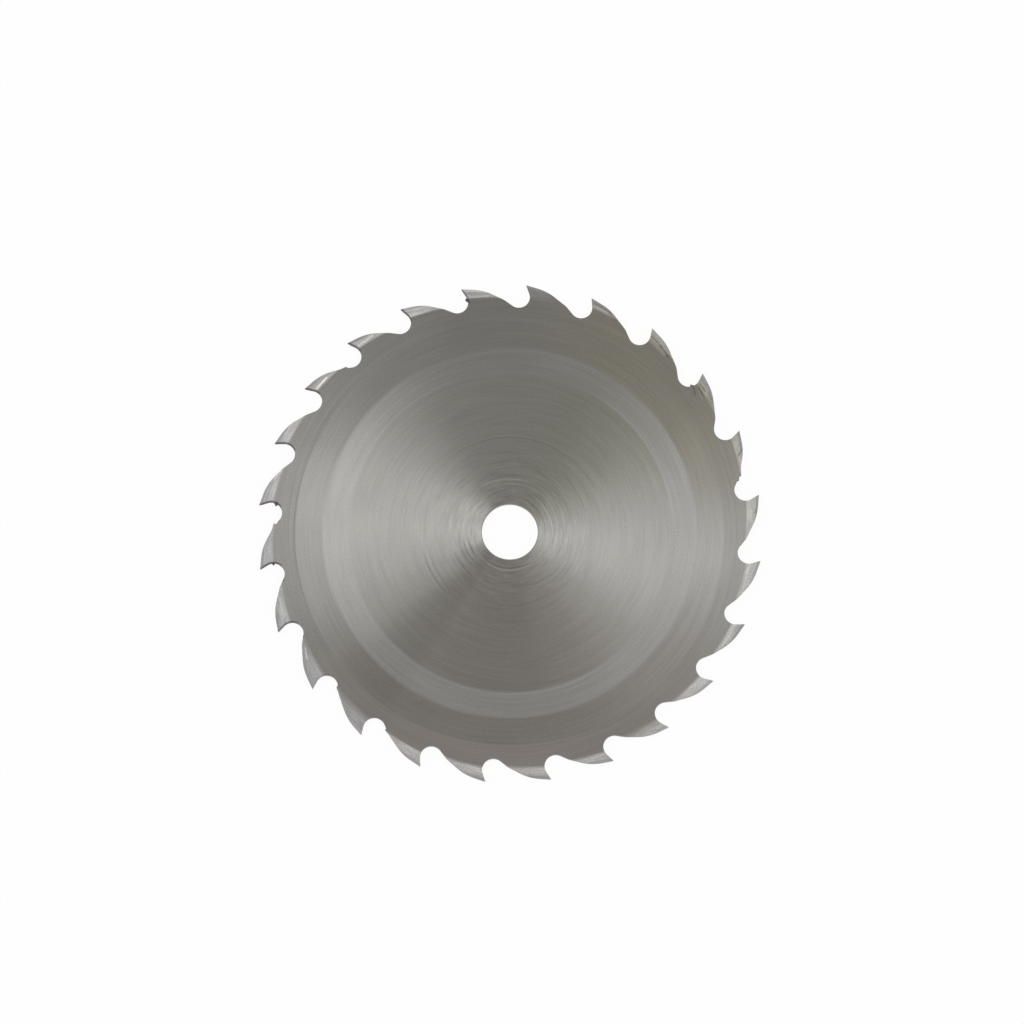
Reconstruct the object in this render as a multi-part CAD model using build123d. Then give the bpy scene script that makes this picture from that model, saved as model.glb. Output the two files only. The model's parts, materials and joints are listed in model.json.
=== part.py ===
from build123d import *
import os
from math import radians, sin, sqrt, tan

# Circular saw blade, all steel and in one piece, in millimetres.
# It is hollow ground: thick at the hub, where the flanges clamp it, thin at
# the waist, and thick again at the tips, which cut the kerf.
# The origin is the centre of the bore, halfway through the thickness, and +Z
# runs along the arbor. Seen from +Z the teeth point counter-clockwise, and
# the tip of the first tooth is on +X.

# Overall sizes
TIP_DIAMETER = 180.0
BORE_DIAMETER = 20.0
TOOTH_COUNT = 24

# Thicknesses, from the hub out to the tips
HUB_THICKNESS = 2.4
WAIST_THICKNESS = 1.85
SHOULDER_THICKNESS = 2.0
KERF_WIDTH = 2.4

# Widths of the ground rings, measured along the radius
HUB_LAND_DIAMETER = 67.8
SIDE_RELIEF_WIDTH = 5.0
SHOULDER_WIDTH = 18.4
WAIST_WIDTH = 8.9
BORE_CHAMFER = 0.25

# The tooth and the gullet in front of it
TOOTH_DEPTH = 8.4
HOOK_ANGLE = 23.0
GULLET_RADIUS = 4.0
TOP_RELIEF_ANGLE = 13.0
TOP_LAND_LENGTH = 7.6
KNEE_RADIUS = 18.0
HEEL_ANGLE = 34.0
HEEL_LENGTH = 3.5
HEEL_RADIUS = 6.0

# The bevel ground along both sides of every top land: how far it reaches in
# from the top land, and how much it takes off each side there
BEVEL_WIDTH = 1.0
BEVEL_DEPTH = 0.4

# The teeth are spaced a little unevenly, which keeps a blade from ringing.
# One wave turns them from their even places once round the rim, a second one
# twice round, in degrees at most, and the start is the second wave's phase.
WAVE_ONCE = 0.9
WAVE_TWICE = 0.9
WAVE_TWICE_START = -67.0

# The ground blank stands this far outside the tips before the teeth are cut
BLANK_MARGIN = 1.0

# Of a straight run between two rounded corners, each corner may take this much
CORNER_SHARE = 0.48

TIP_RADIUS = TIP_DIAMETER / 2
BORE_RADIUS = BORE_DIAMETER / 2
ROOT_RADIUS = TIP_RADIUS - TOOTH_DEPTH
PITCH = 360.0 / TOOTH_COUNT

# How much the side clearance thickens the blade for each millimetre outwards
CLEARANCE_SLOPE = (KERF_WIDTH - SHOULDER_THICKNESS) / SIDE_RELIEF_WIDTH


def heading(degrees):
    """A unit vector in the blade's plane, turned from +X about the arbor."""
    return Vector(1, 0).rotate(Axis.Z, degrees)


def fitting_radius(wanted, before, corner, after):
    """The wanted corner radius, or the largest one that its two runs have room for."""
    turn = (corner - before).get_angle(after - corner)
    room = CORNER_SHARE * min((corner - before).length, (after - corner).length)
    return min(wanted, room / tan(radians(turn / 2)))


def wave(direction):
    """How far the two waves turn a tooth whose even place is in that direction."""
    once = WAVE_ONCE * sin(radians(direction))
    twice = WAVE_TWICE * sin(radians(2 * direction + WAVE_TWICE_START))
    return once + twice


def tooth_angle(number):
    """The direction of a tooth's tip, with the first tooth kept on +X."""
    even = PITCH * number
    return even + wave(even) - wave(0)


def one_pitch(number):
    """The outline from a tooth's tip, counter-clockwise to the next one.

    The face runs in from the tip at the hook angle and meets the round gullet
    at a tangent. Out of the gullet a short heel, the long back and the top
    land climb to the next tip, with the heel and the knee rounded.
    """
    angle = tooth_angle(number)
    next_angle = tooth_angle(number + 1)
    tip = heading(angle) * TIP_RADIUS
    next_tip = heading(next_angle) * TIP_RADIUS

    # The gullet's centre is one gullet radius in front of the face and one
    # gullet radius outside the root circle, which fixes the face's length.
    along_face = heading(angle + 180 + HOOK_ANGLE)
    ahead_of_face = heading(angle + 90 + HOOK_ANGLE)
    centre_radius = ROOT_RADIUS + GULLET_RADIUS
    start = tip + ahead_of_face * GULLET_RADIUS
    reach = -start.dot(along_face)
    face_length = reach - sqrt(reach**2 - start.length**2 + centre_radius**2)
    face_end = tip + along_face * face_length
    centre = face_end + ahead_of_face * GULLET_RADIUS

    outward = centre.normalized()
    gullet_root = centre - outward * GULLET_RADIUS
    gullet_exit = centre + outward.rotate(Axis.Z, 180 - HEEL_ANGLE) * GULLET_RADIUS
    heel = gullet_exit + outward.rotate(Axis.Z, 90 - HEEL_ANGLE) * HEEL_LENGTH
    knee = next_tip + heading(next_angle - 90 - TOP_RELIEF_ANGLE) * TOP_LAND_LENGTH

    corner_radii = [
        fitting_radius(HEEL_RADIUS, gullet_exit, heel, knee),
        fitting_radius(KNEE_RADIUS, heel, knee, next_tip),
    ]
    face = Line(tip, face_end)
    gullet = ThreePointArc(face_end, gullet_root, gullet_exit)
    back = FilletPolyline(gullet_exit, heel, knee, next_tip, radius=corner_radii)
    return face + gullet + back


def tooth_outline():
    """The closed outline of all the teeth, as one face through the arbor's centre."""
    edges = [edge for number in range(TOOTH_COUNT) for edge in one_pitch(number).edges()]
    return make_face(edges)


def ground_blank():
    """The hollow-ground disc before its teeth are cut, turned from half its section."""
    relief_radius = TIP_RADIUS - SIDE_RELIEF_WIDTH
    waist_outer_radius = relief_radius - SHOULDER_WIDTH
    waist_inner_radius = waist_outer_radius - WAIST_WIDTH
    blank_radius = TIP_RADIUS + BLANK_MARGIN

    # The side clearance keeps its slope out past the tips, to the blank's edge.
    blank_thickness = KERF_WIDTH + CLEARANCE_SLOPE * BLANK_MARGIN

    upper_side = [
        (BORE_RADIUS, HUB_THICKNESS / 2 - BORE_CHAMFER),
        (BORE_RADIUS + BORE_CHAMFER, HUB_THICKNESS / 2),
        (HUB_LAND_DIAMETER / 2, HUB_THICKNESS / 2),
        (waist_inner_radius, WAIST_THICKNESS / 2),
        (waist_outer_radius, WAIST_THICKNESS / 2),
        (relief_radius, SHOULDER_THICKNESS / 2),
        (blank_radius, blank_thickness / 2),
    ]
    lower_side = [(radius, -height) for radius, height in reversed(upper_side)]
    section = Plane.XZ * Polygon(*upper_side, *lower_side, align=None)
    return revolve(section, Axis.Z)


def tip_bevels():
    """The wedges that bevel both sides of every top land.

    A wedge's section is a triangle across the top land. Its sloping side meets
    the side of the tooth one bevel width inside the top land, and the top land
    one bevel depth down. Past the knee the back falls away from the wedge, so
    the bevel runs out there by itself.
    """
    top_land = heading(-90 - TOP_RELIEF_ANGLE)
    middle = heading(0) * TIP_RADIUS + top_land * (TOP_LAND_LENGTH / 2)
    across = Plane(origin=middle, x_dir=top_land.rotate(Axis.Z, -90), z_dir=-top_land)

    outer_height = KERF_WIDTH / 2 - BEVEL_DEPTH
    inner_height = (KERF_WIDTH - CLEARANCE_SLOPE * BEVEL_WIDTH) / 2
    rise = inner_height - outer_height
    section = Polygon(
        (-BEVEL_WIDTH, outer_height - rise),
        (2 * BEVEL_WIDTH, outer_height + 2 * rise),
        (-BEVEL_WIDTH, outer_height + 2 * rise),
        align=None,
    )
    upper = extrude(across * section, amount=TOP_LAND_LENGTH, both=True)
    lower = mirror(upper, about=Plane.XY)
    turns = [Rot(Z=tooth_angle(number)) for number in range(TOOTH_COUNT)]
    return [turn * wedge for turn in turns for wedge in (upper, lower)]


def blade():
    """The blank, cut to the outline of the teeth and bevelled at their tips."""
    thickest = max(HUB_THICKNESS, KERF_WIDTH, SHOULDER_THICKNESS, WAIST_THICKNESS)
    cutter = extrude(tooth_outline(), amount=thickest, both=True)
    return (ground_blank() & cutter) - tip_bevels()


os.makedirs("parts", exist_ok=True)
export_step(blade(), "parts/blade.step")
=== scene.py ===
# %% [markdown]
# # A circular saw blade, ground in circles
#
# The object is one piece of steel: a thin disc with a bore, 24 hooked teeth
# and a face that a grinding wheel has marked in fine circles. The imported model
# gives its true size and place, and this lesson gives it its finish.
# Everything is in metres, with +Z along the arbor. The blade lies flat.

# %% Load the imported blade
import json
import math

import bmesh
import bpy
import numpy as np
from mathutils import Matrix, Vector


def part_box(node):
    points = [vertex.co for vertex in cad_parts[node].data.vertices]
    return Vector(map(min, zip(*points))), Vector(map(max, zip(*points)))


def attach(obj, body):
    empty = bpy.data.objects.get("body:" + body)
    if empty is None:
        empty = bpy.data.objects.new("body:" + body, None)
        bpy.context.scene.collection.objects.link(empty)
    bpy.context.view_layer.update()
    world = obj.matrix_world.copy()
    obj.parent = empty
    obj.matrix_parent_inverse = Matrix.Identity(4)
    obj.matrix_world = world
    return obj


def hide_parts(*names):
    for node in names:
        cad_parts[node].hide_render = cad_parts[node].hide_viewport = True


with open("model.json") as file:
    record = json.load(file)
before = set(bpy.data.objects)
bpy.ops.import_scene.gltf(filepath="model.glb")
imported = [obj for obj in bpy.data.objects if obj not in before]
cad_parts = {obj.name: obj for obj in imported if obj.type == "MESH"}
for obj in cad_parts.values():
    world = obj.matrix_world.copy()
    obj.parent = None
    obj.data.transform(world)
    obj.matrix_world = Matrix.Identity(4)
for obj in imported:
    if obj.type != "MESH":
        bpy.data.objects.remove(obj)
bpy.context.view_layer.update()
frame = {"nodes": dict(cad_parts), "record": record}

MM = 0.001
print("nodes:", sorted(frame["nodes"]))

# %% [markdown]
# ## Sizes
#
# What the frame knows is read from it: the tip radius from the node's box, and
# the bore, its chamfer and the hub's thickness from the mounts. The other ring
# radii and the tooth's own sizes are named here once, and the shapes and the
# finishes both use them, so that a ring of colour always falls on its ring of
# metal.

# %% Name the sizes
mounts = {mount["name"]: mount for mount in frame["record"]["mounts"]}
lowest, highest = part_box("blade")

TIP_RADIUS = highest.x
BORE_RADIUS = mounts["bore"]["dims"]["r_mm"] * MM
HUB_HALF = mounts["top_flange_face"]["pos_m"][2]
BORE_CHAMFER = HUB_HALF - mounts["bore"]["dims"]["length_mm"] * MM / 2
KERF_HALF = HUB_HALF
WAIST_HALF = 0.925 * MM
SHOULDER_HALF = 1.0 * MM

HUB_LAND_RADIUS = 33.9 * MM
RELIEF_RADIUS = TIP_RADIUS - 5.0 * MM
WAIST_OUTER_RADIUS = RELIEF_RADIUS - 18.4 * MM
WAIST_INNER_RADIUS = WAIST_OUTER_RADIUS - 8.9 * MM

TEETH = 24
PITCH = 360.0 / TEETH
ROOT_RADIUS = TIP_RADIUS - 8.4 * MM
HOOK_ANGLE = 23.0
GULLET_RADIUS = 4.0 * MM
TOP_RELIEF_ANGLE = 13.0
TOP_LAND_LENGTH = 7.6 * MM
KNEE_RADIUS = 18.0 * MM
HEEL_ANGLE = 34.0
HEEL_LENGTH = 3.5 * MM
HEEL_RADIUS = 6.0 * MM
BEVEL_WIDTH = 1.0 * MM
BEVEL_DEPTH = 0.4 * MM

WAVE_ONCE = 0.9
WAVE_TWICE = 0.9
WAVE_TWICE_START = -67.0

print(f"tip radius {TIP_RADIUS / MM:.2f} mm, bore radius {BORE_RADIUS / MM:.2f} mm")
print(f"hub {2 * HUB_HALF / MM:.2f} mm thick")

# %% [markdown]
# ## The camera
#
# A lying blade is seen best from nearly overhead. A long lens far away keeps
# the disc almost round, and the small tilt shows a thin strip of wall inside
# the bore and along the near teeth. The camera is built from its three axes
# instead of from angles about them, because a view from so steep an angle
# makes "up" in the picture mostly a direction on the floor.

# %% Set the camera
PICTURE_SIZE = 1024
BORE_PIXEL = (509.8, 532.2)
PIXELS_PER_METRE = 2801.5
CAMERA_DISTANCE = 2.0
CAMERA_AZIMUTH = math.radians(262.1)
CAMERA_ELEVATION = math.radians(80.5)
CAMERA_ROLL = math.radians(-0.7)
SENSOR_WIDTH = 36.0
FARTHEST_SEEN = 50.0

toward_camera = Vector((
    math.cos(CAMERA_AZIMUTH) * math.cos(CAMERA_ELEVATION),
    math.sin(CAMERA_AZIMUTH) * math.cos(CAMERA_ELEVATION),
    math.sin(CAMERA_ELEVATION),
))
level_right = Vector((0, 0, 1)).cross(toward_camera).normalized()
level_up = toward_camera.cross(level_right)
camera_right = level_right * math.cos(CAMERA_ROLL) + level_up * math.sin(CAMERA_ROLL)
camera_up = level_up * math.cos(CAMERA_ROLL) - level_right * math.sin(CAMERA_ROLL)

camera_data = bpy.data.cameras.new("camera")
camera_data.sensor_width = SENSOR_WIDTH
camera_data.lens = SENSOR_WIDTH * PIXELS_PER_METRE * CAMERA_DISTANCE / PICTURE_SIZE
camera_data.clip_end = FARTHEST_SEEN
camera = bpy.data.objects.new("camera", camera_data)
bpy.context.scene.collection.objects.link(camera)

centre_offset = (
    camera_right * (PICTURE_SIZE / 2 - BORE_PIXEL[0]) / PIXELS_PER_METRE
    + camera_up * (BORE_PIXEL[1] - PICTURE_SIZE / 2) / PIXELS_PER_METRE
)
turn = Matrix((camera_right, camera_up, toward_camera)).transposed().to_4x4()
camera.matrix_world = Matrix.Translation(toward_camera * CAMERA_DISTANCE + centre_offset) @ turn
bpy.context.scene.camera = camera
print(f"lens {camera_data.lens:.1f} mm at {CAMERA_DISTANCE} m")

# %% [markdown]
# ## Where the teeth are
#
# Teeth at perfectly even distances make a blade ring. These are moved a little
# from their even places, by one slow wave round the rim and a second one that
# is twice as quick, so that some gaps are a few per cent wider than others.
# The 24 angles could be listed, but two sines say the same in three numbers.


# %% Space the teeth
def tooth_angle(number):
    """The direction of a tooth's tip in degrees.

    The even place, number * 360 / 24, plus the sines of once and twice that
    direction, less what they add at the first tooth, which stays on +X.
    """
    even = PITCH * np.asarray(number)

    def wave(direction):
        once = WAVE_ONCE * np.sin(np.radians(direction))
        return once + WAVE_TWICE * np.sin(np.radians(2 * direction + WAVE_TWICE_START))

    return even + wave(even) - wave(0)


tips = tooth_angle(np.arange(TEETH))
gaps = tips - tooth_angle(np.arange(TEETH) - 1)
print(f"gaps between tips: {gaps.min():.2f} to {gaps.max():.2f} degrees")

# %% [markdown]
# ## The outline of a tooth
#
# The cutter that made the gullets left two edges on each tooth: the face in
# front and the back behind. A disc with notches cut into it by a modifier would
# have long thin faces. But neither edge ever runs level with the rim, so each
# can be written as an angle for every radius. That makes a tooth a simple
# patch: radius one way, a share of the width from back to face the other way.
# Every tooth is drawn with its tip on +X and turned to its place at the end.


# %% Draw lines, arcs and rounded corners
def heading(degrees):
    """Unit vectors in the blade's plane: (cos a, sin a) for each angle a."""
    angle = np.radians(degrees)
    return np.stack([np.cos(angle), np.sin(angle)], axis=-1)


def straight(start, end, points=60):
    """Points on a straight run: start + t (end - start), t from 0 to 1."""
    share = np.linspace(0, 1, points)[:, None]
    return start + share * (end - start)


def arc(centre, radius, start, end, points=60):
    """Points on an arc: centre + radius (cos a, sin a), a from start to end."""
    return centre + radius * heading(np.linspace(start, end, points))


def rounded(before, corner, after, radius):
    """The arc of that radius that touches both runs of a corner.

    Its centre lies on the corner's halving line, radius / sin(half angle)
    from the corner, and the arc runs between the two feet of the centre.
    """
    into = (before - corner) / np.linalg.norm(before - corner)
    out_of = (after - corner) / np.linalg.norm(after - corner)
    half = math.acos(np.dot(into, out_of)) / 2
    middle = (into + out_of) / np.linalg.norm(into + out_of)
    centre = corner + middle * radius / math.sin(half)
    first = corner + into * radius / math.tan(half) - centre
    last = corner + out_of * radius / math.tan(half) - centre
    start = math.degrees(math.atan2(first[1], first[0]))
    end = math.degrees(math.atan2(last[1], last[0]))
    sweep = (end - start + 180) % 360 - 180
    return arc(centre, radius, start, start + sweep)


def polar(points):
    """Points as radius and angle in degrees, in the order of their radius.

    The radius is the root of x squared plus y squared, and the angle that of (x, y).
    """
    radius = np.hypot(points[:, 0], points[:, 1])
    angle = np.degrees(np.arctan2(points[:, 1], points[:, 0]))
    order = np.argsort(radius)
    return radius[order], angle[order]


# %% [markdown]
# The face is straight, and the gullet that ends it is part of a circle. Its
# place could be tried out by hand, but two conditions fix it: the circle
# touches the line of the face, and it stands on the root circle.


# %% Find the gullet in front of the face
def gullet_front():
    """The length of the straight face, and the centre of the gullet that ends it.

    The gullet's circle touches the face line and stands on the root circle.
    So its centre is one gullet radius ahead of the face, and the length comes
    from the centre's distance to the arbor, by a quadratic equation.
    """
    along_face = heading(180 + HOOK_ANGLE)
    start = TIP_RADIUS * heading(0) + heading(90 + HOOK_ANGLE) * GULLET_RADIUS
    reach = -start @ along_face
    centre_radius = ROOT_RADIUS + GULLET_RADIUS
    face_length = reach - math.sqrt(reach**2 - start @ start + centre_radius**2)
    return face_length, start + along_face * face_length


FACE_LENGTH, GULLET_CENTRE = gullet_front()
print(f"straight face {FACE_LENGTH / MM:.2f} mm long")

# %% [markdown]
# Each back starts in the gullet of the tooth behind, so it depends on the gap
# between the two. A free curve through a few points could follow it, but it
# would swing out where a gap is wide. So the heel and the knee are corners
# between straight runs, each rounded by an arc.


# %% Work out the two edges of a tooth
def tooth_edges(gap):
    """The face and the back of a tooth that follows the one behind by that gap.

    The front half of the gullet's circle ends the face. The same gullet, one
    gap further back, starts the back of the tooth, which climbs over the heel
    and the knee to the tip.
    """
    tip = TIP_RADIUS * heading(0)
    centre_angle = math.degrees(math.atan2(GULLET_CENTRE[1], GULLET_CENTRE[0]))
    face = np.concatenate([
        straight(tip, tip + heading(180 + HOOK_ANGLE) * FACE_LENGTH),
        arc(GULLET_CENTRE, GULLET_RADIUS, HOOK_ANGLE - 90, centre_angle - 180),
    ])

    behind_angle = centre_angle - gap
    behind = np.linalg.norm(GULLET_CENTRE) * heading(behind_angle)
    gullet_exit = behind + GULLET_RADIUS * heading(behind_angle + 180 - HEEL_ANGLE)
    heel = gullet_exit + HEEL_LENGTH * heading(behind_angle + 90 - HEEL_ANGLE)
    knee = tip + TOP_LAND_LENGTH * heading(-90 - TOP_RELIEF_ANGLE)
    heel_arc = rounded(gullet_exit, heel, knee, HEEL_RADIUS)
    knee_arc = rounded(heel, knee, tip, KNEE_RADIUS)
    back = np.concatenate([
        arc(behind, GULLET_RADIUS, behind_angle + 180, behind_angle + 180 - HEEL_ANGLE),
        straight(gullet_exit, heel_arc[0]),
        heel_arc,
        straight(heel_arc[-1], knee_arc[0]),
        knee_arc,
        straight(knee_arc[-1], tip),
    ])
    return polar(face), polar(back)


print("points along a face and a back:", [len(radius) for radius, angle in tooth_edges(PITCH)])

# %% [markdown]
# ## Burrs
#
# The teeth of this blade are not perfect. Cutting and grinding left small
# nubs of metal on a few faces and backs. Loose lumps laid on the edge would
# leave hidden faces inside. So each is a rounded bump that pushes one edge of
# one tooth outwards, and it belongs to the same closed skin.

# %% List the bumps
FACE, BACK = 0, 1
# tooth counted counter-clockwise from +X, edge, radius, length along it, height
BUMPS = [
    (1, BACK, 85.2 * MM, 0.45 * MM, 1.5 * MM),
    (1, BACK, 84.0 * MM, 0.30 * MM, 0.9 * MM),
    (2, FACE, 84.0 * MM, 0.50 * MM, 0.9 * MM),
    (6, FACE, 85.9 * MM, 0.50 * MM, 0.9 * MM),
    (9, BACK, 83.9 * MM, 0.50 * MM, 0.9 * MM),
    (11, FACE, 84.2 * MM, 0.45 * MM, 1.0 * MM),
    (12, FACE, 85.1 * MM, 0.35 * MM, 0.8 * MM),
    (12, BACK, 84.3 * MM, 0.40 * MM, 1.6 * MM),
    (15, BACK, 83.2 * MM, 0.50 * MM, 0.9 * MM),
    (16, BACK, 83.8 * MM, 0.35 * MM, 0.9 * MM),
]


def bulge(number, edge, radius):
    """How many degrees a tooth's bumps push that edge outwards, at each radius.

    A bump adds height * exp(-((radius - its radius) / its length) ** 2).
    """
    total = np.zeros_like(radius)
    for tooth, bumped_edge, place, length, height in BUMPS:
        if (tooth, bumped_edge) == (number, edge):
            total += height * np.exp(-(((radius - place) / length) ** 2))
    return np.degrees(np.where(radius > ROOT_RADIUS, total, 0) / radius)


print(len(BUMPS), "bumps on teeth", sorted({bump[0] for bump in BUMPS}))

# %% [markdown]
# ## The section
#
# Hollow grinding leaves a thick hub for the flanges, a thin waist that can't
# rub in the cut, and a rim that thickens again to the full kerf at the tips.
# A profile could be spun round the axis, but then the teeth would still have to
# be cut from it. Instead, every point of the skin asks for the height at its
# radius, which is a broken line through five points. Along each top land a
# bevel takes a little more off. It is a plane, so its height depends only on
# the distance from the top land.


# %% Give the heights of the ground surfaces
CLEARANCE_SLOPE = (KERF_HALF - SHOULDER_HALF) / (TIP_RADIUS - RELIEF_RADIUS)


def half_thickness(radius):
    """Straight lines between the ring radii, from the hub land to the tips."""
    rings = [HUB_LAND_RADIUS, WAIST_INNER_RADIUS, WAIST_OUTER_RADIUS, RELIEF_RADIUS, TIP_RADIUS]
    halves = [HUB_HALF, WAIST_HALF, WAIST_HALF, SHOULDER_HALF, KERF_HALF]
    return np.interp(radius, rings, halves)


def bevel_height(points):
    """The bevel plane's height: one bevel depth down at the top land, rising inwards."""
    inside = (points - TIP_RADIUS * heading(0)) @ heading(180 - TOP_RELIEF_ANGLE)
    outer_height = KERF_HALF - BEVEL_DEPTH
    inner_height = KERF_HALF - CLEARANCE_SLOPE * BEVEL_WIDTH
    return outer_height + (inner_height - outer_height) * inside / BEVEL_WIDTH


def bevel_start(radius, angle):
    """The radius at which an edge of the tooth passes from its side to the bevel.

    There, the half thickness less the bevel plane's height is 0.
    """
    points = radius[:, None] * heading(angle)
    below = half_thickness(radius) - bevel_height(points)
    return np.interp(0, below, radius)


print(f"{2 * half_thickness(RELIEF_RADIUS) / MM:.2f} mm thick where the side clearance starts")

# %% [markdown]
# ## Rows and columns
#
# The rows of the skin are circles. They crowd together where the outline
# turns quickly, at the bottom of the gullets and near the tips, and one row
# lies exactly on each ring where the grinding changes. Even rows would have to
# be many more to be as smooth there. The columns are shares of a tooth's width,
# closer at its two edges.

# %% Choose the rows and columns
ROWS_ON_PLATE = 28
ROWS_IN_GULLET = 18
GULLET_SPAN = 78.0
CLEARANCE_ROWS = 12
BEVEL_ROWS = 22
BEVEL_COLUMNS = 4
COLUMNS = 18

bore_edge = BORE_RADIUS + BORE_CHAMFER
ring_radii = [HUB_LAND_RADIUS, WAIST_INNER_RADIUS, WAIST_OUTER_RADIUS]
even_rows = np.linspace(bore_edge, ROOT_RADIUS, ROWS_ON_PLATE)
plate_rows = np.unique(np.concatenate([even_rows, ring_radii]))[:-1]
# equal turns of the gullet's circle, from its bottom: root + radius (1 - cos a)
gullet_turn = np.radians(np.linspace(0, GULLET_SPAN, ROWS_IN_GULLET))
gullet_rows = ROOT_RADIUS + GULLET_RADIUS * (1 - np.cos(gullet_turn))
# halfway between even shares and shares that a cosine crowds at both ends
even_columns = np.linspace(0, 1, COLUMNS + 1)
columns = (even_columns + (1 - np.cos(np.pi * even_columns)) / 2) / 2
WALL_LEVELS = np.linspace(1, -1, 4)
rows = len(plate_rows) + len(gullet_rows) + CLEARANCE_ROWS + BEVEL_ROWS
print(f"{rows} rows, {COLUMNS} columns a tooth")

# %% [markdown]
# ## One tooth's share of the skin
#
# One tooth can't be drawn once and turned 24 times, because the gaps differ. So
# the skin is drawn as 24 sectors, each with one tooth. A sector is a few grids
# of points: the ground side, the bevel, the two walls and the bore. The upper
# side and bevel come first.


# %% Draw the upper side and the bevel
def stand(points, height):
    """Points of the plane, given their heights: (x, y) and z make (x, y, z)."""
    return np.concatenate([points, np.asarray(height)[..., None]], axis=-1)


def upper_side(number):
    """The upper ground side and the bevel of a sector, each as [row, column, xyz].

    On the side, the angle runs from the back to the face with the column's
    share. Beyond the bevel's start, the back gives way to the bevel's inner
    line, which is straight. The bevel spans from that line to the back.
    """
    (face_radius, face_angle), (back_radius, back_angle) = tooth_edges(gaps[number])
    back_start = bevel_start(back_radius, back_angle)
    face_start = bevel_start(face_radius, face_angle)
    start = back_start * heading(np.interp(back_start, back_radius, back_angle))
    foot = face_start * heading(np.interp(face_start, face_radius, face_angle))
    inner = straight(start, foot, BEVEL_ROWS)
    inner_radius, inner_angle = polar(inner)

    clearance = np.linspace(RELIEF_RADIUS, back_start, CLEARANCE_ROWS)
    below_bevel = np.concatenate([plate_rows, gullet_rows, clearance])
    first_angle = np.interp(below_bevel, back_radius, back_angle) - bulge(number, BACK, below_bevel)
    radius = np.concatenate([below_bevel, inner_radius[1:]])
    first_angle = np.concatenate([first_angle, inner_angle[1:]])
    last_angle = np.interp(radius, face_radius, face_angle) + bulge(number, FACE, radius)
    angle = first_angle[:, None] + columns * (last_angle - first_angle)[:, None]
    height = np.broadcast_to(half_thickness(radius)[:, None], angle.shape)
    side = stand(radius[:, None, None] * heading(angle), height)

    above = back_radius >= back_start
    outer_angle = np.linspace(inner_angle[0], 0, BEVEL_ROWS)
    outer_radius = np.interp(outer_angle, back_angle[above], back_radius[above])
    outer = outer_radius[:, None] * heading(outer_angle)
    outer[0] = inner[0]
    lowered = np.minimum(bevel_height(outer), half_thickness(outer_radius))
    inner = stand(inner, half_thickness(inner_radius))
    outer = stand(outer, lowered)
    share = np.linspace(0, 1, BEVEL_COLUMNS + 1)[:, None]
    bevel = inner[:, None, :] + share * (outer - inner)[:, None, :]
    return side, bevel


# %% [markdown]
# The walls hang from the edges of the upper side, and the lower side and bevel
# are the mirror image of the upper ones. Every face gets the slot of its
# finish here. The tooth side's finish starts a little inside the teeth, where
# it still looks like the plate's.

# %% Draw the walls and gather a sector
PLATE_SLOT, TOOTH_SIDE_SLOT, BEVEL_SLOT, WALL_SLOT, BORE_SLOT = range(5)
TOOTH_FINISH_RADIUS = 82.3 * MM


def wall(top):
    """The wall that hangs from an upper edge: its height times each level, 1 to -1."""
    height = top[:, 2:] * WALL_LEVELS
    flat = np.broadcast_to(top[:, None, :2], height.shape + (2,))
    return stand(flat, height)


def bore_wall(top):
    """The chamfers and the bore under a sector's innermost row, ring by ring.

    Each ring is its radius times the row's unit directions, at its own height.
    """
    outward = top[:, :2] / np.linalg.norm(top[:, :2], axis=1)[:, None]
    straight_half = HUB_HALF - BORE_CHAMFER
    ring = np.array([bore_edge, BORE_RADIUS, BORE_RADIUS, bore_edge])[:, None]
    height = np.array([HUB_HALF, straight_half, -straight_half, -HUB_HALF])[:, None]
    return stand(ring[..., None] * outward, np.broadcast_to(height, (4, len(top))))


def sector(number):
    """Every grid of a sector: its points, whether it is wound outward, its slots.

    The lower side and bevel are the upper ones times (1, 1, -1).
    """
    side, bevel = upper_side(number)
    lower = np.array([1, 1, -1])
    root = len(plate_rows)
    radius = np.hypot(side[:, 0, 0], side[:, 0, 1])
    middle = (radius[1:] + radius[:-1]) / 2
    side_slots = np.where(middle > TOOTH_FINISH_RADIUS, TOOTH_SIDE_SLOT, PLATE_SLOT)
    side_slots = np.repeat(side_slots, COLUMNS)
    below_bevel = root + len(gullet_rows) + CLEARANCE_ROWS
    face_top = np.concatenate([side[root:, -1], bevel[-1, 1:]])
    back_top = np.concatenate([side[root:below_bevel, 0], bevel[1:, -1]])
    return [
        (side, True, side_slots),
        (side * lower, False, side_slots),
        (bevel, False, BEVEL_SLOT),
        (bevel * lower, True, BEVEL_SLOT),
        (wall(face_top), True, WALL_SLOT),
        (wall(back_top), False, WALL_SLOT),
        (bore_wall(side[0]), False, BORE_SLOT),
    ]


print("grids of a sector:", [grid.shape[:2] for grid, outward, slot in sector(0)])

# %% [markdown]
# ## The whole skin
#
# Each grid is turned to its tooth's place and given its faces, four corners at
# a time. The grids could share their border points from the start, but keeping
# count of them is easy to get wrong. So the points that neighbours share are
# merged at the end, which sews everything into one closed skin. The number of
# open edges must come out as 0.


# %% Turn, number and sew grids
def turned(grid, degrees):
    """A grid turned about Z: x becomes x cos a - y sin a, and y x sin a + y cos a."""
    across, along = heading(degrees), heading(degrees + 90)
    flat = grid[..., :1] * across + grid[..., 1:2] * along
    return np.concatenate([flat, grid[..., 2:]], axis=-1)


def grid_faces(shape, first, outward):
    """The four-cornered faces of a grid whose points are numbered from first.

    The corners of a face are the points (i, j), (i + 1, j), (i + 1, j + 1), (i, j + 1).
    """
    index = first + np.arange(shape[0] * shape[1]).reshape(shape[:2])
    corners = [index[:-1, :-1], index[1:, :-1], index[1:, 1:], index[:-1, 1:]]
    if not outward:
        corners.reverse()
    return np.stack(corners, axis=-1).reshape(-1, 4)


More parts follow.
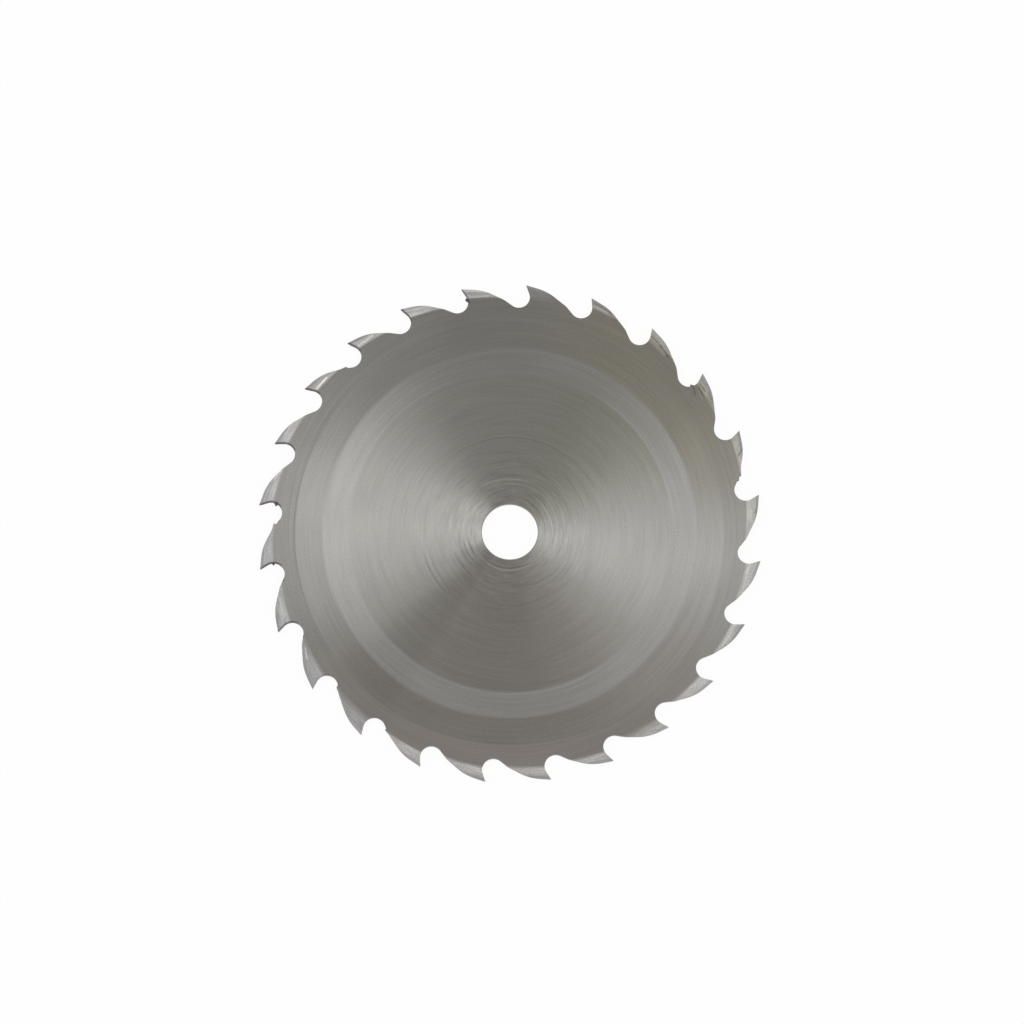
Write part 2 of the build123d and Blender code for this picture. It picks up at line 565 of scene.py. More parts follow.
def sew(mesh, reach):
    """Merges points closer than the reach. Counts open edges and measures the volume."""
    sewing = bmesh.new()
    sewing.from_mesh(mesh)
    bmesh.ops.remove_doubles(sewing, verts=sewing.verts, dist=reach)
    open_edges = sum(1 for edge in sewing.edges if len(edge.link_faces) != 2)
    volume = sewing.calc_volume(signed=True)
    sewing.to_mesh(mesh)
    sewing.free()
    return open_edges, volume


# %% Sew the sectors into one mesh
SEWING_DISTANCE = 0.002 * MM
points, faces, slots = [], [], []
first = 0
for number in range(TEETH):
    for grid, outward, slot in sector(number):
        new_faces = grid_faces(grid.shape, first, outward)
        points.append(turned(grid, tips[number]).reshape(-1, 3))
        faces.append(new_faces)
        slots.append(np.broadcast_to(slot, len(new_faces)))
        first += grid.shape[0] * grid.shape[1]
points = np.concatenate(points)
faces = np.concatenate(faces)
slots = np.concatenate(slots).astype(np.int32)

mesh = bpy.data.meshes.new("ground_blade")
mesh.from_pydata(points.tolist(), [], faces.tolist())
mesh.polygons.foreach_set("material_index", slots)
open_edges, volume = sew(mesh, SEWING_DISTANCE)
print(f"{len(mesh.polygons)} faces, {open_edges} open edges, {volume / MM**3:.0f} cubic mm")

# %% [markdown]
# The ground steel is smooth, and its corners are crisp. Smooth shading alone
# would round off the true corners, and flat shading would show every face. So
# the surface is smooth and some edges are marked sharp: the ones where walls
# meet sides, and the faint creases of the rings, which are too shallow to be
# found by their angle.


# %% Mark the sharp edges
SHARP_ANGLE = 17.0
ON_RING = 0.001 * MM


def mark_edges(mesh):
    """Sharp where faces turn by over the sharp angle, and where both ends lie on a ring."""
    mesh.shade_smooth()
    mesh.set_sharp_from_angle(angle=math.radians(SHARP_ANGLE))
    place = np.empty(len(mesh.vertices) * 3)
    mesh.vertices.foreach_get("co", place)
    radius = np.hypot(*place.reshape(-1, 3)[:, :2].T)
    ends = np.empty(len(mesh.edges) * 2, np.int32)
    mesh.edges.foreach_get("vertices", ends)
    end_radius = radius[ends.reshape(-1, 2)]
    sharp = np.empty(len(mesh.edges), bool)
    mesh.edges.foreach_get("use_edge_sharp", sharp)
    for ring in [*ring_radii, RELIEF_RADIUS]:
        sharp |= np.all(np.abs(end_radius - ring) < ON_RING, axis=1)
    mesh.edges.foreach_set("use_edge_sharp", sharp)
    return int(sharp.sum())


print(mark_edges(mesh), "sharp edges")
blade = bpy.data.objects.new("ground_blade", mesh)
bpy.context.scene.collection.objects.link(blade)
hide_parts("blade")
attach(blade, "root")

# %% [markdown]
# ## Writing finishes as sums
#
# A finish is mostly arithmetic on places: how far from the arbor, which way
# round, how much noise. Its nodes could be placed and linked by hand in the
# shader editor, but hundreds of them are easier to read as sums. A small class
# stands for a value on its way from node to node, so that `1 - mask` or
# `radius * 3` adds the right Math node.


# %% Make the wire that does sums
class Wire:
    """A number, vector or colour between nodes. Python's operators add Math nodes."""

    def __init__(self, finish, socket):
        self.finish = finish
        self.socket = socket

    def __add__(self, other):
        return self.finish.maths("ADD", self, other)

    def __radd__(self, other):
        return self.finish.maths("ADD", other, self)

    def __sub__(self, other):
        return self.finish.maths("SUBTRACT", self, other)

    def __rsub__(self, other):
        return self.finish.maths("SUBTRACT", other, self)

    def __mul__(self, other):
        return self.finish.maths("MULTIPLY", self, other)

    def __rmul__(self, other):
        return self.finish.maths("MULTIPLY", other, self)

    def __truediv__(self, other):
        return self.finish.maths("DIVIDE", self, other)

    def __rtruediv__(self, other):
        return self.finish.maths("DIVIDE", other, self)

    def __pow__(self, other):
        return self.finish.maths("POWER", self, other)

    def __rpow__(self, other):
        return self.finish.maths("POWER", other, self)

    def __abs__(self):
        return self.finish.maths("ABSOLUTE", self)

    def clamp(self):
        """The number, kept from 0 to 1."""
        return self.finish.node("ShaderNodeClamp", {}, {"Value": self})

    def at_least(self, lowest):
        """The number or the lowest one, whichever is larger."""
        return self.finish.maths("MAXIMUM", self, lowest)

    def equals(self, whole):
        """1 where the number is that whole number, and 0 elsewhere."""
        return self.finish.maths("COMPARE", self, whole, 0.5)

    def times_plus(self, factor, rest):
        """The number times the factor, plus the rest, in one node."""
        return self.finish.maths("MULTIPLY_ADD", self, factor, rest)

    def step(self, start, end, low=0.0, high=1.0):
        """A smooth change from low to high as the number goes from start to end."""
        settings = {"interpolation_type": "SMOOTHSTEP"}
        inputs = {"Value": self, "From Min": start, "From Max": end, "To Min": low, "To Max": high}
        return self.finish.node("ShaderNodeMapRange", settings, inputs)

    def away_from(self, vector):
        """This vector less another: the way from that place to this one."""
        return self.finish.vectors("SUBTRACT", self, vector)

    def dot(self, vector):
        """The sum of x times x, y times y and z times z."""
        return self.finish.vectors("DOT_PRODUCT", self, vector, output="Value")

    def distance(self, vector):
        """The length of the way between the two places."""
        return self.finish.vectors("DISTANCE", self, vector, output="Value")


# %% [markdown]
# A wire belongs to a finish, which holds the material and its tree of nodes.
# One method adds a node of any kind, and the others are short names for the
# kinds that come up again and again. Colours and vectors have their own nodes,
# because a Math node would turn a colour grey.


# %% Make the finish writer
class Finish:
    """A material under construction. `node` adds every node and returns its output."""

    def __init__(self, name):
        self.material = bpy.data.materials.new(name)
        self.material.use_nodes = True
        self.tree = self.material.node_tree
        self.tree.nodes.clear()

    def node(self, kind, settings, inputs, output=0):
        """Adds a node: settings are set first, then its sockets get values or wires."""
        node = self.tree.nodes.new(kind)
        for key, value in settings.items():
            setattr(node, key, value)
        for key, value in inputs.items():
            if isinstance(value, Wire):
                self.tree.links.new(value.socket, node.inputs[key])
            elif node.inputs[key].type == "RGBA":
                node.inputs[key].default_value = (*value, 1)
            else:
                node.inputs[key].default_value = value
        return Wire(self, node.outputs[output]) if len(node.outputs) else node

    def maths(self, operation, *terms):
        """A Math node on one, two or three numbers."""
        return self.node("ShaderNodeMath", {"operation": operation}, dict(enumerate(terms)))

    def vectors(self, operation, *terms, output="Vector"):
        """A Vector Math node. Its output is a vector, or a number by the name of Value."""
        settings = {"operation": operation}
        return self.node("ShaderNodeVectorMath", settings, dict(enumerate(terms)), output)

    def scaled(self, vector, factor):
        """A vector or a colour with all three parts times the factor."""
        inputs = {0: vector, "Scale": factor}
        return self.node("ShaderNodeVectorMath", {"operation": "SCALE"}, inputs)

    def point(self, x, y, z=0.0):
        """The vector with these three parts."""
        return self.node("ShaderNodeCombineXYZ", {}, {0: x, 1: y, 2: z})

    def noise(self, x, y, z, detail=2.0, roughness=0.5):
        """Soft noise about 0 at a point given by three numbers."""
        inputs = {"Vector": self.point(x, y, z), "Scale": 1.0, "Detail": detail, "Roughness": roughness}
        return self.node("ShaderNodeTexNoise", {}, inputs) - 0.5

    def blend(self, first, second, share):
        """A colour between two: first where share is 0, second where it is 1."""
        inputs = {0: share, 6: first, 7: second}
        return self.node("ShaderNodeMix", {"data_type": "RGBA"}, inputs, 2)

    def cover(self, surface, coat, share):
        """A surface that gives way to another one where share is 1."""
        return self.node("ShaderNodeMixShader", {}, {0: share, 1: surface, 2: coat})

    def bump(self, height, strength, distance):
        """The normal of a surface whose height is height * distance, mixed in by strength."""
        inputs = {"Height": height, "Strength": strength, "Distance": distance}
        return self.node("ShaderNodeBump", {}, inputs)

    def steel(self, inputs, constants):
        """The metal itself. What varies comes in inputs, what is even in constants."""
        return self.node("ShaderNodeBsdfPrincipled", {}, {"Metallic": 1.0, **constants, **inputs})

    def done(self, surface):
        """Ends the finish with its surface and hands over the material."""
        self.node("ShaderNodeOutputMaterial", {}, {"Surface": surface})
        print(f"{self.material.name}: {len(self.tree.nodes)} nodes")
        return self.material


# %% [markdown]
# ## Places on the blade
#
# Every finish starts from the same few facts about the point it is asked for:
# its distance from the arbor, and its direction, as the cosine and the sine of
# the angle round the blade. Much depends on direction, because a disc takes
# the light differently all round. A painted mask would need an unwrapped disc.
# The dot product with a fixed unit vector is the cosine of the angle between
# the two directions, so a step on it lights up one side of the blade with two
# nodes and no picture.


# %% Find the place on the blade
class Place:
    """Where the point being shaded lies: x, y and z in metres, radius and direction."""

    def __init__(self, finish):
        spot = finish.node("ShaderNodeTexCoord", {}, {}, "Object")
        parts = (finish.node("ShaderNodeSeparateXYZ", {}, {0: spot}, axis) for axis in "XYZ")
        self.x, self.y, self.z = parts
        self.radius = (self.x * self.x + self.y * self.y) ** 0.5
        self.cosine = self.x / self.radius
        self.sine = self.y / self.radius
        self.flat = finish.point(self.x, self.y)
        self.facing = finish.point(self.cosine, self.sine)

    def toward(self, degrees, width, high=1.0):
        """High in that direction, falling to 0 at that many degrees from it.

        It is a smooth step of the cosine of the angle between the two.
        """
        middle = (*heading(degrees), 0.0)
        return self.facing.dot(middle).step(math.cos(math.radians(width)), 1.0, 0.0, high)


# %% [markdown]
# ## The ground face
#
# A wheel that touches the spinning blade leaves fine circles. They scatter
# light outwards and inwards but hardly round the circle, which is why two
# bright fans stand across the disc, left and right, with dull fans between.
# The shader's own anisotropy does that: steel has no tangent of its own here,
# so the renderer takes the direction round Z, and a quarter turn points it
# along the radius.
#
# The circles themselves could be a picture of brushed steel, but it would blur
# close up and end in a seam. They are noise that is stretched round the blade.
# Its point is (cosine, sine) times a small number, and the radius times a
# large one, so it changes quickly along the radius, slowly round it, and
# closes without a seam.

# %% Choose the steel of the ground face
STEEL = (0.415, 0.411, 0.397)
BAND_STEEL = (0.419, 0.420, 0.415)
WARM_STEEL = (0.400, 0.387, 0.372)
OLIVE_STEEL = (0.405, 0.404, 0.362)
BROWN_STEEL = (0.420, 0.403, 0.358)
RUSSET_STEEL = (0.408, 0.385, 0.372)
RIM_RADIUS = 76.6 * MM
# the period of each kind of mark
FINE_GROOVE = 0.4 * MM
MEDIUM_GROOVE = 1.1 * MM
BROAD_GROOVE = 2.4 * MM
GRAIN_SIZE = 0.5 * MM
CLOUD_SIZE = 25 * MM
# how much each kind lightens and darkens the steel
FINE_CONTRAST = 0.27
MEDIUM_CONTRAST = 0.19
BROAD_CONTRAST = 0.14
GRAIN_CONTRAST = 0.34
CLOUD_CONTRAST = 0.10


def grooves(finish, place, period, turns):
    """Noise in circles: a period along the radius, and a number of patches round it."""
    return finish.noise(place.cosine * turns, place.sine * turns, place.radius / period)


# %% [markdown]
# A few grooves stand out, where the wheel took a harder bite for part of a
# turn. Noise alone would place them anywhere, so they are listed. Each has its
# own radius, a direction in which it is strongest, and the angle at which it
# has faded away. Two tiny pits are listed beside them, each painted as a small
# glint.

# %% List the strongest grooves
# radius, direction of its middle, angle to its ends, width, how much lighter it is
STRONG_GROOVES = [
    (12.6 * MM, 30, 60, 0.35 * MM, -0.22),
    (13.2 * MM, 256, 45, 0.40 * MM, -0.32),
    (13.9 * MM, 256, 50, 0.45 * MM, 0.38),
    (15.1 * MM, 18, 32, 0.40 * MM, 0.38),
    (14.9 * MM, 195, 18, 0.35 * MM, -0.33),
    (15.8 * MM, 195, 15, 0.30 * MM, 0.25),
    (16.8 * MM, 195, 17, 0.35 * MM, -0.33),
    (17.5 * MM, 60, 50, 0.35 * MM, 0.20),
    (18.2 * MM, 200, 20, 0.30 * MM, -0.24),
    (19.1 * MM, 89, 34, 0.40 * MM, 0.42),
    (19.6 * MM, 206, 22, 0.30 * MM, 0.20),
    (21.0 * MM, 208, 20, 0.30 * MM, -0.18),
    (23.4 * MM, 40, 35, 0.35 * MM, 0.14),
    (27.8 * MM, 22, 20, 0.35 * MM, -0.19),
    (29.5 * MM, 199, 22, 0.30 * MM, -0.18),
    (30.4 * MM, 199, 18, 0.30 * MM, 0.14),
    (31.0 * MM, 27, 24, 0.35 * MM, -0.14),
    (31.6 * MM, 199, 20, 0.40 * MM, -0.22),
    (32.6 * MM, 202, 22, 0.30 * MM, 0.14),
    (34.2 * MM, 84, 75, 0.40 * MM, -0.14),
    (34.8 * MM, 84, 75, 0.40 * MM, 0.08),
    (58.4 * MM, 28, 32, 0.40 * MM, 0.12),
    (58.4 * MM, 121, 28, 0.40 * MM, 0.12),
    (58.4 * MM, 264, 50, 0.40 * MM, 0.11),
    (62.0 * MM, 118, 22, 0.40 * MM, 0.10),
    (66.9 * MM, 258, 45, 0.50 * MM, 0.08),
    (76.9 * MM, 165, 45, 0.60 * MM, -0.12),
    (78.4 * MM, 145, 50, 0.40 * MM, 0.10),
]
# radius, direction, size
PITS = [(22.7 * MM, 88, 0.35 * MM), (15.4 * MM, 257, 0.35 * MM)]
# how much lighter the middle of a pit is: a painted glint
PAINTED_PIT_GLINT = 0.3


def strong_grooves(place):
    """The sum of the listed grooves: strength on its circle times the share of its direction.

    The strength falls smoothly to 0 at the groove's width from the circle.
    """
    total = 0.0
    for radius, direction, reach, width, strength in STRONG_GROOVES:
        line = abs(place.radius - radius).step(0.0, width, strength, 0.0)
        total = line.times_plus(place.toward(direction, reach), total)
    return total


def pits(place):
    """1 at the middle of each listed pit, falling to 0 at its size."""
    middles = [((*(radius * heading(direction)), 0.0), size) for radius, direction, size in PITS]
    return sum(place.flat.distance(middle).step(0.0, size, 1.0, 0.0) for middle, size in middles)


print(len(STRONG_GROOVES), "strong grooves,", len(PITS), "pits")

# %% [markdown]
# The disc is not perfectly flat, so each ring takes the light a little
# differently round the turn. Bending the mesh by so little would be fragile,
# and it would no longer lie flat. These lobes paint that light and shade into
# the colour instead: each lightens or darkens one ring towards one direction.

# %% List the lobes
# painted light and shade for each ring: direction of the lobe's middle, angle to its ends, how much
# lighter it is
PAINTED_LIGHT_LOBES = {
    "plate": [(133, 25, 0.07), (182, 22, 0.06), (206, 10, 0.05), (218, 13, -0.12), (292, 22, 0.08)],
    "hub": [(131, 19, 0.12), (62, 22, 0.08), (178, 24, 0.05), (201, 12, -0.10), (268, 34, 0.05)],
    "band": [
        (95, 28, -0.06), (147, 22, 0.06), (182, 22, 0.06), (204, 10, 0.05),
        (218, 13, -0.09), (258, 60, 0.16), (334, 36, -0.11), (350, 16, 0.05),
    ],
    "beyond": [
        (18, 20, -0.05), (60, 24, 0.07), (132, 26, -0.07), (158, 14, 0.09), (182, 22, 0.06),
        (218, 13, -0.11), (268, 50, 0.10), (324, 20, -0.08), (346, 20, 0.05),
    ],
    "rim": [
        (72, 60, 0.06), (116, 24, 0.07), (157, 15, -0.06), (186, 50, -0.06),
        (216, 13, 0.13), (250, 52, 0.20),
    ],
}


def lobes(place, listed):
    """The painted light and shade of the listed lobes here: the sum of change * step, for each
    direction.
    """
    return sum(place.toward(direction, reach, change) for direction, reach, change in listed)


def ring_masks(place):
    """For each ring, 1 within it and 0 outside it, with a smooth step of the radius between.

    The hub fades over 12 mm. The other steps are 1 to 1.6 mm wide.
    """
    beyond = place.radius.step(WAIST_OUTER_RADIUS - 0.6 * MM, WAIST_OUTER_RADIUS + 1.0 * MM)
    outside = place.radius.step(WAIST_INNER_RADIUS - 0.8 * MM, WAIST_INNER_RADIUS + 0.6 * MM)
    return {
        "plate": 1 - outside,
        "hub": place.radius.step(14 * MM, 26 * MM, 1.0, 0.0),
        "band": outside * (1 - beyond),
        "beyond": beyond,
        "rim": place.radius.step(RIM_RADIUS - 0.5 * MM, RIM_RADIUS + 0.5 * MM),
    }


print("lobes:", {ring: len(listed) for ring, listed in PAINTED_LIGHT_LOBES.items()})

# %% [markdown]
# Everything on the ground face changes only how light the steel is, how rough
# it is and a trace of its colour, so it is one metal with one shader. Its
# colour is a steel that is tinted from side to side, times a level that sums
# up the grooves, the marks, among them painted glints, and the lobes of
# painted light and shade.


# %% Write the ground face
def ground_steel(finish, place, masks, marks):
    """The shader of the ground face, for every finish that shows some of it.

    The level of its colour is 1 plus the grooves, the grain and the single
    marks, some of which are painted glints, times 1 plus the painted light and
    shade of each ring's lobes. Near the arbor the finer grooves are `deeper`.
    """
    fine = grooves(finish, place, FINE_GROOVE, 2.2)
    medium = grooves(finish, place, MEDIUM_GROOVE, 2.8)
    broad = grooves(finish, place, BROAD_GROOVE, 1.2)
    cloud = finish.noise(place.x / CLOUD_SIZE, place.y / CLOUD_SIZE, 0.0)
    grain = finish.noise(place.x / GRAIN_SIZE, place.y / GRAIN_SIZE, 0.0, 1.0)
    deeper = 1 + place.radius.step(15 * MM, 35 * MM, 1.3, 0.0)
    level = 1 + (FINE_CONTRAST * fine + MEDIUM_CONTRAST * medium) * deeper
    level = level + BROAD_CONTRAST * broad + GRAIN_CONTRAST * grain + CLOUD_CONTRAST * cloud + marks

    band, beyond, rim = masks.get("band", 0.0), masks["beyond"], masks["rim"]
    level = level * (1 + 0.10 * band - 0.06 * beyond)
    # painted light and shade: each ring lighter or darker towards some directions
    for ring, mask in masks.items():
        level = level * (1 + mask * lobes(place, PAINTED_LIGHT_LOBES[ring]))

    colour = finish.blend(STEEL, WARM_STEEL, place.toward(258, 75))
    colour = finish.blend(colour, OLIVE_STEEL, place.toward(38, 36))
    colour = finish.blend(colour, BROWN_STEEL, beyond * place.toward(35, 45))
    colour = finish.blend(colour, RUSSET_STEEL, beyond * place.toward(266, 74))
    colour = finish.blend(colour, BAND_STEEL, 0.7 * band)
    inputs = {
        "Base Color": finish.scaled(colour, level),
        "Roughness": 0.55 + 0.04 * band + 0.03 * beyond + 0.06 * rim + 0.10 * broad + 0.08 * fine,
        "Normal": finish.bump(fine + medium, 0.2, 0.02 * MM),
    }
    return finish.steel(inputs, {"Anisotropic": 0.85, "Anisotropic Rotation": 0.25})


def ground_face():
    """The ground steel with all its rings, plus the strong grooves and the pits, which are painted
    glints.
    """
    finish = Finish("ground_face")
    place = Place(finish)
    marks = strong_grooves(place) + PAINTED_PIT_GLINT * pits(place)
    return finish.done(ground_steel(finish, place, ring_masks(place), marks))


mesh.materials.append(ground_face())

# %% [markdown]
# ## Places on a tooth
#
# The teeth were finished one by one, so their marks need to know which tooth
# they are on and where on it. Twenty-four materials would do that, but one is
# enough. The direction of a point, counted in pitches, gives the number of its
# tooth. The same spacing formula as above gives the direction of that tooth's
# tip. Turning back by it leaves a place in the tooth's own plane, with the tip
# on the axis that points outwards.


# %% Find the tooth and the place on it
# in pitches ahead of a tip, within its gullet
NEXT_TOOTH_STARTS = 0.26
HOOK_COSINE, HOOK_SINE = heading(HOOK_ANGLE).tolist()
RELIEF_COSINE, RELIEF_SINE = heading(TOP_RELIEF_ANGLE).tolist()


class ToothPlace:
    """The same point seen from its tooth: number, metres ahead of the tip, metres out.

    `behind` is how far it is behind the line of the face, and `below` how far
    it is below the line of the top land. Each is a dot product with the unit
    vector across that line.
    """

    def __init__(self, finish, place):
        direction = finish.maths("ARCTAN2", place.y, place.x)
        pitches = direction / math.radians(PITCH) + (TEETH + 1 - NEXT_TOOTH_STARTS)
        self.number = finish.maths("FLOOR", finish.maths("MODULO", pitches, TEETH))
        even = self.number * math.radians(PITCH)
        once = WAVE_ONCE * finish.maths("SINE", even)
        twice = WAVE_TWICE * finish.maths("SINE", 2 * even + math.radians(WAVE_TWICE_START))
        at_first = WAVE_TWICE * math.sin(math.radians(WAVE_TWICE_START))
        own = direction - even - (once + twice - at_first) * math.radians(1)
        self.ahead = place.radius * finish.maths("SINE", own)
        self.out = place.radius * finish.maths("COSINE", own)
        self.spot = finish.point(self.ahead, self.out, self.number)
        self.behind = (self.out - TIP_RADIUS) * HOOK_SINE - self.ahead * HOOK_COSINE
        self.below = (TIP_RADIUS - self.out) * RELIEF_COSINE + self.ahead * RELIEF_SINE


def by_tooth(tooth, changes):
    """The sum of equals(number) * change: the change listed for this tooth, or 0."""
    total = 0.0
    for number, change in changes.items():
        total = tooth.number.equals(number).times_plus(change, total)
    return total


# %% [markdown]
# A few strokes stand out: bright glints, which are painted highlights, dark
# lines from grinding and cutting, partly the painted shadow of a burr on
# tooth 2, and nubs of steel that were burnt dark. They could be thin strips
# laid on the steel, but those would cast shadows and lift off. Each is a short
# stroke in the finish of one tooth, from one place to another, in millimetres
# ahead of the tip and out from the arbor. The tooth's number serves as a third
# coordinate. It keeps the other teeth a metre away, far outside any stroke.

# %% List and draw the strokes
# tooth, start, end, half its width, how much lighter it is; the lighter strokes are painted glints
STREAKS = [
    (0, (-5.6, 87.9), (-6.4, 87.6), 0.4, -0.4),
    (1, (-0.8, 89.3), (-7.0, 87.7), 0.35, -0.35),
    (1, (-7.0, 87.6), (-8.5, 85.5), 0.4, -0.45),
    (2, (-2.4, 86.5), (-5.5, 86.4), 0.5, -0.40),
    (2, (-3.2, 85.5), (-6.2, 84.8), 0.55, -0.30),
    (2, (-3.9, 84.7), (-6.8, 84.1), 0.35, 0.20),
    (2, (-1.9, 84.0), (-4.2, 83.0), 0.7, -0.27),
    (2, (-6.6, 87.2), (-9.4, 86.1), 0.5, -0.30),
    (2, (-7.8, 85.6), (-10.6, 85.2), 0.4, -0.30),
    (3, (-1.6, 87.3), (-6.5, 86.3), 0.6, -0.45),
    (3, (-6.5, 86.3), (-10.6, 84.8), 0.8, -0.35),
    (3, (-2.2, 85.9), (-9.0, 84.6), 1.1, 0.40),
    (4, (-1.5, 88.6), (-8.0, 87.1), 0.5, -0.25),
    (4, (-1.8, 87.2), (-6.5, 86.9), 0.5, 0.15),
    (4, (-8.0, 86.7), (-11.0, 85.2), 0.9, -0.25),
    (6, (-2.4, 86.4), (-9.0, 85.7), 0.3, 0.25),
    (8, (-2.2, 86.7), (-8.4, 86.3), 0.8, 0.30),
    (9, (-2.5, 86.4), (-7.8, 86.0), 0.5, 0.70),
    (11, (-9.5, 85.9), (-13.0, 83.6), 0.6, 0.25),
    (13, (-4.0, 85.9), (-11.0, 84.7), 0.4, 0.25),
    (14, (-9.8, 84.8), (-13.0, 82.9), 0.45, 0.60),
]
BURNT_SPOTS = [
    (2, (-0.9, 84.3), (-1.8, 84.0), 0.5, 0.5),
    (6, (-1.1, 85.8), (-1.7, 84.8), 0.75, 0.9),
    (11, (-0.8, 84.4), (-1.5, 83.7), 0.55, 0.8),
    (12, (-0.8, 85.2), (-1.3, 85.0), 0.45, 0.8),
]


def strokes(finish, tooth, listed):
    """The sum of the listed strokes: strength on the stroke, fading over its width.

    The nearest point of a stroke is start + t * run. Here t is the dot product
    of the way from the start with run / length squared, kept from 0 to 1.
    """
    total = 0.0
    for number, start, end, width, strength in listed:
        first = Vector((start[0] * MM, start[1] * MM, number))
        run = Vector((end[0] * MM, end[1] * MM, number)) - first
        way = tooth.spot.away_from(first)
        share = way.dot(run / run.length_squared).clamp()
        distance = way.distance(finish.scaled(run, share))
        total = total + distance.step(0.0, width * MM, strength, 0.0)
    return total


print(len(STREAKS), "streaks,", len(BURNT_SPOTS), "burnt spots")

# %% [markdown]
# Cutting the outline left a heat tint along the faces of the teeth on one
# half of the blade. A narrow row of faces could carry it, but its soft inner
# edge needs a mask. It follows the straight face and then the gullet, so the
# mask is a distance from the face's line, and below the face's end a distance
# from the gullet's circle.


# %% Make the burnt steel
BURNT_STEEL = (0.12, 0.097, 0.14)
BURN_DEPTH = 0.8
BURN_STARTS_FADING = 0.25 * MM
BURN_ENDS = 0.60 * MM


def edge_distance(tooth):
    """How far a point of the tooth is from its face, or past its end from the gullet.

    The first is a distance from a line. The second is the distance from the
    gullet's centre less its radius.
    """
    out, ahead = tooth.out - GULLET_CENTRE[0], tooth.ahead - GULLET_CENTRE[1]
    from_circle = (out * out + ahead * ahead) ** 0.5 - GULLET_RADIUS
    down_face = (TIP_RADIUS - tooth.out) * HOOK_COSINE - tooth.ahead * HOOK_SINE
    past_end = down_face.step(FACE_LENGTH - 0.1 * MM, FACE_LENGTH + 0.1 * MM)
    return tooth.behind + past_end * (from_circle - tooth.behind)


def burnt_share(finish, place, tooth):
    """1 where the steel is burnt: along the edge of the left teeth, and on the listed nubs.

    It is the burn's depth times the edge's share times the side's share, plus
    the spots. The side reaches further round on the faces than in the gullets.
    """
    edge = edge_distance(tooth).step(BURN_STARTS_FADING, BURN_ENDS, 1.0, 0.0)
    faces = place.toward(145, 72, 1.8).clamp()
    gullets = place.toward(174, 42, 1.8).clamp()
    in_gullet = place.radius.step(84.0 * MM, 85.0 * MM, 1.0, 0.0)
    side = faces + in_gullet * (gullets - faces)
    return (BURN_DEPTH * edge * side + strokes(finish, tooth, BURNT_SPOTS)).clamp()


def with_burns(finish, place, tooth, surface):
    """The surface, with burnt steel over it where it is burnt."""
    burnt = finish.steel({"Base Color": BURNT_STEEL, "Roughness": 0.5}, {})
    return finish.cover(surface, burnt, burnt_share(finish, place, tooth))


# %% [markdown]
# ## The sides of the teeth
#
# The outer five millimetres were ground again, tooth by tooth, to give them
# their side clearance. This fresh steel is lighter than the face from any
# angle, and its marks run along the top land. It ends in a line on each tooth,
# a little higher or lower on some, and worn soft on a few. Cutting the mesh
# along those lines would fix them for good, so the two steels are two shaders
# and a mask decides between them. The fresh steel is also the rougher one,
# because a smooth one would flare white wherever a softbox is opposite.


# %% Write the tooth sides
TOOTH_STEEL = (0.562, 0.562, 0.553)
COOL_STEEL = (0.553, 0.557, 0.565)
OLIVE_TOOTH = (0.557, 0.552, 0.499)
FACET_FOOT = 85.05 * MM
FACET_SLOPE = 0.08
FACET_SOFTNESS = 0.35 * MM
WORN_SOFTNESS = 1.2 * MM
SCRATCH_SIZE = 0.6 * MM
DARKEST = 0.08
# painted light and shade on the fresh steel: direction, angle to its ends, how much lighter it is
TOOTH_PAINTED_LIGHT = [
    (40, 45, -0.20), (80, 30, -0.28), (165, 30, 0.05), (265, 55, -0.16), (335, 40, 0.13),
]
# for each tooth: how much lighter it is, and how much higher its facet ends, in millimetres
TOOTH_TONES = {
    1: 0.05, 3: 0.05, 4: 0.05, 5: -0.15, 6: 0.12, 7: 0.10, 10: 0.07, 12: -0.04, 14: -0.20,
    15: -0.21, 16: 0.05, 17: 0.08, 18: 0.06, 19: 0.08, 20: 0.08,
}
FACET_SHIFTS = {
    1: 0.9, 2: 0.9, 3: 1.4, 4: 1.6, 5: 1.0, 6: 1.1, 7: 0.6, 8: 0.8, 9: 0.8, 10: 0.4,
    13: -0.6, 14: -1.4, 15: -0.6, 18: 0.2, 19: 0.8, 20: 0.9, 22: 0.5,
}
# how much softer the end of the facet is on some teeth
SOFT_TEETH = {5: 1.0, 14: 0.3, 15: 1.0, 17: 0.2, 18: 0.3, 19: 0.2, 20: 1.0, 21: 0.2}


def land_marks(finish, tooth, across, along, shift, detail):
    """Noise in lines along the top land: a period across them, and one along them.

    The third coordinate is the tooth's number times a shift, so no two teeth
    have the same marks.
    """
    return finish.noise(tooth.below / across, tooth.behind / along, tooth.number * shift, detail)


